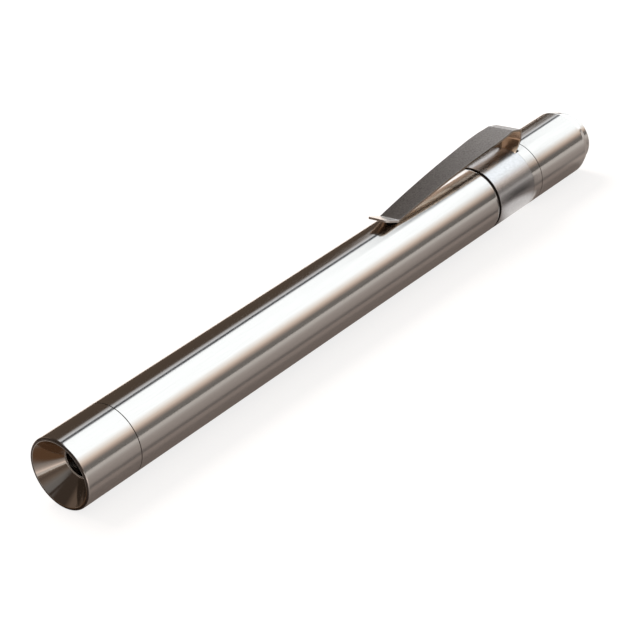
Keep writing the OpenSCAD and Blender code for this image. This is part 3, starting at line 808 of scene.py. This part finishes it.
class PENLIGHT_OT_spring(bpy.types.Operator):
    """Makes the button's spring a piece of its own, with its own mesh, on the tail cap"""
    bl_idname = "penlight.spring"
    bl_label = "Button spring"

    def execute(self, context):
        coil = bmesh.new()
        coil.from_mesh(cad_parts["button_spring"].data)
        bmesh.ops.remove_doubles(coil, verts=coil.verts, dist=10 * MERGE)
        piece = add_piece("button_spring_coil", coil, "tail_cap",
                          [bpy.data.materials["spring_steel"]], "button_spring",
                          sharp=40.0)
        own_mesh(piece)
        return {"FINISHED"}


# Stage

GROUND = cad_bounds[0].z
FLOOR_HALF = 3.0
# Radius and half length of the tent, and how far its far panels hang askew from one station
TENT_R, TENT_END, TENT_STEPS = 0.8, 2.5, 72
SKEW_X, SKEW_RISE = 0.66, 26 / 180
TENT_WHITE, TENT_LINE = (0.97, 0.99, 1.0), (0.02, 0.02, 0.024)
# Place of the low card along the penlight's far side, as runs of (start, end, height)
KERB_Y = 0.048
KERB_RUNS = ((-1.0, 0.060, 12.5 * MM), (0.100, 0.16, 10.5 * MM))
# Cards on the floor: how high they lie, and their places, sizes, slants and tones
CARD_LIFT = 0.1 * MM
MOUTH_CARD_R, MOUTH_CARD_EDGE, MOUTH_TONE = 9 * MM, 0.3 * MM, (0.14, 0.075, 0.04)
TAIL_CARD_AT, TAIL_CARD_SIZE, TAIL_SLANT = (0.0492, -0.0062), (0.0118, 0.0130), -0.71
GREY_CARD_AT, GREY_CARD_SIZE, GREY_SLANT = (0.0781, -0.037), (0.0108, 0.046), -1.02
TAIL_TONE, GREY_TONE = (0.90, 0.86, 0.83), (0.05, 0.045, 0.042)
# Strength at which the sky lights things, beside 1 where it is seen or mirrored
DIM_SKY = 0.5
# Direction of the soft sun lamp, and its spread in degrees
KEY_AIM, KEY_SPREAD = (-0.15, -0.75, -1.0), 25
# The camera's place and directions, solved from the photograph's outlines
CAMERA_AT = (-0.24747, -0.22792, 0.17176)
CAMERA_RIGHT, CAMERA_UP = (0.63590, -0.76037, -0.13220), (0.42360, 0.20068, 0.88334)


def stage_object(name, bm, material, only_mirrored=True):
    """A piece of the studio that isn't part of the penlight."""
    obj = new_object(name, bm, [material])
    if only_mirrored:
        obj.visible_camera = obj.visible_diffuse = obj.visible_shadow = False


def maths(tree, operation, *values):
    """A math node; values are numbers or sockets."""
    node = tree.nodes.new("ShaderNodeMath")
    node.operation = operation
    for socket, value in zip(node.inputs, values):
        feed(tree, socket, value)
    return node.outputs["Value"]


def times(tree, a, b):
    """The product of two numbers or sockets."""
    return maths(tree, "MULTIPLY", a, b)


def mix(tree, factor, a, b, mode="MIX"):
    """Mixes two colours or sockets."""
    node = tree.nodes.new("ShaderNodeMix")
    node.data_type = "RGBA"
    node.blend_type = mode
    node.clamp_factor = True
    for name, value in (("Factor_Float", factor), ("A_Color", a), ("B_Color", b)):
        feed(tree, next(i for i in node.inputs if i.identifier == name), value)
    return next(o for o in node.outputs if o.identifier == "Result_Color")


def rise(tree, value, low, high, curve="SMOOTHSTEP"):
    """Goes from 0 at low to 1 at high, smoothly or in a straight line."""
    node = new_node(tree, "ShaderNodeMapRange", {
        "Value": value, "From Min": low, "From Max": high})
    node.interpolation_type = curve
    return node.outputs["Result"]


def ramp_mm(tree, source, low, high, stops):
    """A ramp over a length, with stops of (millimetres, tone) from low to high."""
    span = high - low
    share = maths(tree, "MULTIPLY_ADD", source, 1 / (span * MM), -low / span)
    return ramp(tree, share, [((at - low) / span, tone) for at, tone in stops])


def object_axes(tree):
    """The sockets of the Object coordinates x, y and z."""
    split = new_node(tree, "ShaderNodeSeparateXYZ", {"Vector": object_place(tree)})
    return [split.outputs[name] for name in "XYZ"]


def diagonal(tree, a, b):
    """The distance that the steps a and b make together."""
    squares = [maths(tree, "POWER", step, 2.0) for step in (a, b)]
    return maths(tree, "SQRT", maths(tree, "ADD", *squares))


def tent_cloth(studio):
    """The tent's cloth: its lit and dark panels lie along the penlight.

    Their angles go round the body's axis, in degrees from straight up towards
    the camera, and the panels on the far side are hung a little askew.
    """
    material, tree, light = new_material("tent_cloth", {"Strength": studio.softbox},
                                         "ShaderNodeEmission")
    x, y, z = object_axes(tree)
    angle = maths(tree, "ARCTAN2", times(tree, y, -1.0), maths(tree, "SUBTRACT", z, AXIS_Z))
    share = maths(tree, "MULTIPLY_ADD", angle, 1 / math.pi, 0.5)
    askew = maths(tree, "ADD", share,
                  times(tree, maths(tree, "SUBTRACT", x, SKEW_X), SKEW_RISE))

    def panels(source, stops):
        return ramp(tree, source, [(0.5 + a / 180, tone) for a, tone in stops])

    def along(*stations):
        return ramp(tree, x, list(zip(stations, (0.0, 1.0, 1.0, 0.0))))

    def patch(stations, angles):
        around = panels(share, zip(angles, (0.0, 1.0, 1.0, 0.0)))
        return times(tree, along(*stations), around)

    flag, front = studio.flag, studio.front
    far = panels(askew, [(-90, flag), (-43, flag), (-39, (0.32, 0.30, 0.29)),
                         (-31.5, (0.58, 0.58, 0.59)), (-29, TENT_LINE),
                         (-23.5, TENT_LINE), (-20, TENT_WHITE)])
    near = panels(share, [(42, TENT_WHITE), (54, (0.76, 0.70, 0.65)),
                          (62, (0.60, 0.49, 0.41)), (70, (0.34, 0.26, 0.215)),
                          (77, (0.14, 0.125, 0.115)), (90, (0.12, 0.11, 0.10))])
    over_arm = patch((0.75, 0.79, 0.88, 0.915), (-66, -60, -47, -42))
    under_arm = patch((0.755, 0.775, 0.855, 0.88), (-26, -23, 0, 6))
    hung = mix(tree, over_arm, far, (1.10, 1.05, 1.02))
    hung = mix(tree, under_arm, hung, (0.10, 0.105, 0.115))
    hung = mix(tree, rise(tree, x, 1.0, 1.05, "LINEAR"), hung, TENT_WHITE)
    lit = mix(tree, 1.0, hung, near, "MULTIPLY")
    by_band = along(0.860, 0.872, 0.903, 0.914)
    dimmed = panels(share, [(26, 1.0), (40, 0.52), (50, 0.30), (70, 0.28), (84, 0.20)])
    lit = mix(tree, by_band, lit, mix(tree, 1.0, lit, dimmed, "MULTIPLY"))
    ahead = panels(share, [(a, [c * k for c in front]) for a, k in
                           ((-90, 1.7), (-60, 1.6), (-42, 0.6), (30, 0.6), (50, 1.0),
                            (78, 1.1), (86, 1.8), (90, 2.6))])
    overhead = panels(share, [(-14, 0.0), (-2, 1.0)])
    far_ahead = times(tree, rise(tree, times(tree, x, -1.0), 0.75, 0.85), 0.09)
    middle = maths(tree, "MAXIMUM", rise(tree, x, -0.52, -0.38), far_ahead)
    rear = rise(tree, x, 0.12, 0.38, "LINEAR")
    lit_share = maths(tree, "MAXIMUM", rear, times(tree, middle, overhead))
    tree.links.new(mix(tree, lit_share, ahead, lit), light.inputs["Color"])
    return material


def tent_shape():
    """A half-round tunnel along the penlight, closed at both ends."""
    tent = bmesh.new()
    side = [tent.verts.new((x, -TENT_R, AXIS_Z)) for x in (-TENT_END, TENT_END)]
    edge = tent.edges.new(side)
    bmesh.ops.spin(tent, geom=side + [edge], cent=(0, 0, AXIS_Z), axis=(1, 0, 0),
                   angle=-math.pi, steps=TENT_STEPS, use_merge=False)
    for x in (-TENT_END, TENT_END):
        rim = [v for v in tent.verts if abs(v.co.x - x) < SAME]
        tent.faces.new(sorted(rim, key=lambda v: v.co.y))
    return tent


def output_of(tree):
    """The tree's material output."""
    return next(n for n in tree.nodes if n.type == "OUTPUT_MATERIAL")


def card_paper(name, tone, fade=(), centre=None):
    """Plain glowing paper of a small studio card, which may fade out round a centre."""
    material, tree, light = new_material(name, {"Color": tone}, "ShaderNodeEmission")
    if fade:
        away = new_node(tree, "ShaderNodeVectorMath", {0: object_place(tree)})
        away.operation = "DISTANCE"
        away.inputs[1].default_value = (*centre, GROUND)
        clear = tree.nodes.new("ShaderNodeBsdfTransparent")
        both = new_node(tree, "ShaderNodeMixShader", {
            "Fac": rise(tree, away.outputs["Value"], *fade),
            1: light.outputs["Emission"], 2: clear.outputs["BSDF"]})
        tree.links.new(both.outputs["Shader"], output_of(tree).inputs["Surface"])
    return material


def kerb_shape():
    """Two low upright strips along the penlight's far side."""
    kerb = bmesh.new()
    for x0, x1, top in KERB_RUNS:
        edge = kerb.edges.new([kerb.verts.new((x, KERB_Y, GROUND)) for x in (x0, x1)])
        made = bmesh.ops.extrude_edge_only(kerb, edges=[edge])["geom"]
        bmesh.ops.translate(kerb, vec=(0, 0, top),
                            verts=[g for g in made if isinstance(g, bmesh.types.BMVert)])
    return kerb


def mouth_shape():
    """A round card under the mouth, cut off just ahead of its rim."""
    card = bmesh.new()
    bmesh.ops.create_circle(card, cap_ends=True, segments=64, radius=MOUTH_CARD_R,
                            matrix=Matrix.Translation((RIM_X, 0, GROUND + CARD_LIFT)))
    bmesh.ops.bisect_plane(card, geom=card.verts[:] + card.edges[:] + card.faces[:],
                           plane_co=(RIM_X - MOUTH_CARD_EDGE, 0, 0), plane_no=(1, 0, 0),
                           clear_outer=True)
    return card


def slanted_card(centre, size, slant):
    """A flat card whose sides lean along x by the slant for each step in y."""
    card = bmesh.new()
    lean = Matrix.Identity(4)
    lean[0][1] = slant
    bmesh.ops.create_grid(card, x_segments=1, y_segments=1, size=0.5, matrix=(
        Matrix.Translation((*centre, GROUND + CARD_LIFT)) @ lean
        @ Matrix.Diagonal((*size, 1, 1))))
    return card


def floor_paint(studio):
    """Pale matt floor, greyed close to the penlight by a painted shadow, that the camera
    sees as white.

    Reflections alone see a painted glow on it: soft stripes beside the body, a bright
    far side, and an opening of light ahead of the mouth.
    """
    material, tree, shader = new_material(
        "floor_paint", {"Roughness": 0.9, "Specular IOR Level": 0.0})
    x, y, _ = object_axes(tree)
    path = tree.nodes.new("ShaderNodeLightPath").outputs
    past_end = maths(tree, "MAXIMUM", 0.0, maths(
        tree, "SUBTRACT", maths(tree, "ABSOLUTE", x), -RIM_X))
    # The floor's colour greys close to the penlight: a painted shadow
    away = rise(tree, diagonal(tree, past_end, y), 8 * MM, 70 * MM)
    tree.links.new(mix(tree, away, studio.mat, studio.floor), shader.inputs["Base Color"])
    # A painted glow that only reflections see: light and dark stripes beside the body
    stripes = ramp_mm(tree, y, -50, 50, [
        (-50, 0.5), (-28, 0.9), (-20, 1.0), (-13.8, 0.9), (-13, 0.25), (-11.6, 0.25),
        (-10.8, 1.0), (-10.2, 1.7), (-8.8, 1.7), (-7.5, 1.0), (50, 1.0)])
    ahead = maths(tree, "SUBTRACT", x, RIM_X)
    opening = ramp_mm(tree, diagonal(tree, ahead, y), 0, 50, [
        (5, 0.0), (8, 0.06), (12, 0.16), (18, 0.32), (27, 0.68), (35, 0.66), (50, 0.1)])
    near_side = rise(tree, times(tree, y, -1.0), -2 * MM, 6 * MM)
    open_front = times(tree, times(tree, near_side, opening),
                       maths(tree, "LESS_THAN", ahead, 0.0))
    by_body = times(tree, maths(tree, "GREATER_THAN", ahead, 0.0), studio.sheen)
    far_side = rise(tree, y, 12 * MM, 30 * MM)
    mirror = maths(tree, "MULTIPLY_ADD", stripes, by_body, open_front)
    mirror = maths(tree, "MULTIPLY_ADD", far_side, 0.65, mirror)
    seen = times(tree, path["Is Camera Ray"], studio.glow)
    light = new_node(tree, "ShaderNodeEmission", {
        "Color": mix(tree, path["Is Camera Ray"], (1.0, 0.80, 0.70), (1.0, 1.0, 1.0)),
        "Strength": maths(tree, "MULTIPLY_ADD", path["Is Glossy Ray"], mirror, seen)})
    both = new_node(tree, "ShaderNodeAddShader", {
        0: shader.outputs["BSDF"], 1: light.outputs["Emission"]})
    tree.links.new(both.outputs["Shader"], output_of(tree).inputs["Surface"])
    return material


def white_world():
    """A white background for the camera and for reflections, and a dim one for the rest."""
    world = bpy.data.worlds.new("studio")
    world.use_nodes = True
    tree = world.node_tree
    tree.nodes.clear()
    path = tree.nodes.new("ShaderNodeLightPath").outputs
    seen = maths(tree, "MAXIMUM", path["Is Camera Ray"], path["Is Glossy Ray"])
    seen = maths(tree, "MAXIMUM", seen, path["Is Transmission Ray"])
    strength = maths(tree, "MULTIPLY_ADD", seen, 1 - DIM_SKY, DIM_SKY)
    sky = new_node(tree, "ShaderNodeBackground", {"Color": (1, 1, 1), "Strength": strength})
    new_node(tree, "ShaderNodeOutputWorld", {"Surface": sky.outputs["Background"]})
    return world


class PENLIGHT_OT_stage(bpy.types.Operator):
    """Sets up the floor, the light tent, its cards, the world and the camera"""
    bl_idname = "penlight.stage"
    bl_label = "Stage"

    def execute(self, context):
        scene = context.scene
        studio = scene.penlight_studio
        floor = bmesh.new()
        bmesh.ops.create_grid(floor, x_segments=1, y_segments=1, size=FLOOR_HALF,
                              matrix=Matrix.Translation((0, 0, GROUND)))
        stage_object("floor", floor, floor_paint(studio), only_mirrored=False)
        stage_object("light_tent", tent_shape(), tent_cloth(studio))
        kerb_tone = [c * studio.softbox for c in studio.flag]
        tail_card = slanted_card(TAIL_CARD_AT, TAIL_CARD_SIZE, TAIL_SLANT)
        grey_card = slanted_card(GREY_CARD_AT, GREY_CARD_SIZE, GREY_SLANT)
        for name, shape, tone, *fade in (
                ("low_card", kerb_shape(), kerb_tone),
                ("mouth_card", mouth_shape(), MOUTH_TONE, (3.8 * MM, 8.8 * MM), (RIM_X, 0)),
                ("grey_card", grey_card, GREY_TONE),
                ("tail_card", tail_card, TAIL_TONE, (3 * MM, 8 * MM), TAIL_CARD_AT)):
            stage_object(name, shape, card_paper(name, tone, *fade))

        key = bpy.data.lights.new("key", "SUN")
        key.energy = studio.key
        key.angle = math.radians(KEY_SPREAD)
        lamp = bpy.data.objects.new("key", key)
        lamp.rotation_euler = Vector(KEY_AIM).to_track_quat("-Z", "Y").to_euler()
        lamp.visible_glossy = False
        scene.collection.objects.link(lamp)
        scene.world = white_world()

        view = bpy.data.cameras.new("camera")
        view.sensor_width = 36.0
        view.lens = studio.lens
        view.clip_start, view.clip_end = 0.01, 20.0
        camera = bpy.data.objects.new("camera", view)
        right = Vector(CAMERA_RIGHT).normalized()
        back = right.cross(Vector(CAMERA_UP)).normalized()
        turn = Matrix((right, back.cross(right), back)).transposed().to_4x4()
        camera.matrix_world = Matrix.Translation(CAMERA_AT) @ turn
        scene.collection.objects.link(camera)
        scene.camera = camera
        scene.view_settings.view_transform = "Standard"
        return {"FINISHED"}


class PENLIGHT_PT_sidebar(bpy.types.Panel):
    """Lists the penlight's settings and builders"""
    bl_label = "Penlight"
    bl_idname = "PENLIGHT_PT_sidebar"
    bl_space_type = "VIEW_3D"
    bl_region_type = "UI"
    bl_category = "Penlight"

    def draw(self, context):
        for name, (_, *builders) in ROWS.items():
            box = self.layout.box()
            for builder in builders:
                box.operator(builder.bl_idname)
            settings = getattr(context.scene, name)
            for setting in settings.__annotations__:
                box.prop(settings, setting)


# Each group of settings, with the builders it is listed beside
ROWS = {
    "penlight_turned": (PenlightTurned, PENLIGHT_OT_head, PENLIGHT_OT_lamp,
                        PENLIGHT_OT_tube, PENLIGHT_OT_band, PENLIGHT_OT_tail),
    "penlight_clip": (PenlightClip, PENLIGHT_OT_clip),
    "penlight_finish": (PenlightFinish, PENLIGHT_OT_inside, PENLIGHT_OT_spring),
    "penlight_studio": (PenlightStudio, PENLIGHT_OT_stage),
}
CLASSES = [item for row in ROWS.values() for item in row] + [PENLIGHT_PT_sidebar]


def register():
    for item in CLASSES:
        bpy.utils.register_class(item)
    for name, row in ROWS.items():
        setattr(bpy.types.Scene, name, PointerProperty(type=row[0]))


def unregister():
    for name in ROWS:
        delattr(bpy.types.Scene, name)
    for item in reversed(CLASSES):
        bpy.utils.unregister_class(item)


def main():
    register()
    bpy.ops.penlight.stage()
    bpy.ops.penlight.head()
    bpy.ops.penlight.lamp()
    bpy.ops.penlight.tube()
    bpy.ops.penlight.band()
    bpy.ops.penlight.tail()
    bpy.ops.penlight.clip()
    bpy.ops.penlight.inside()
    bpy.ops.penlight.spring()


if __name__ == "__main__":
    main()
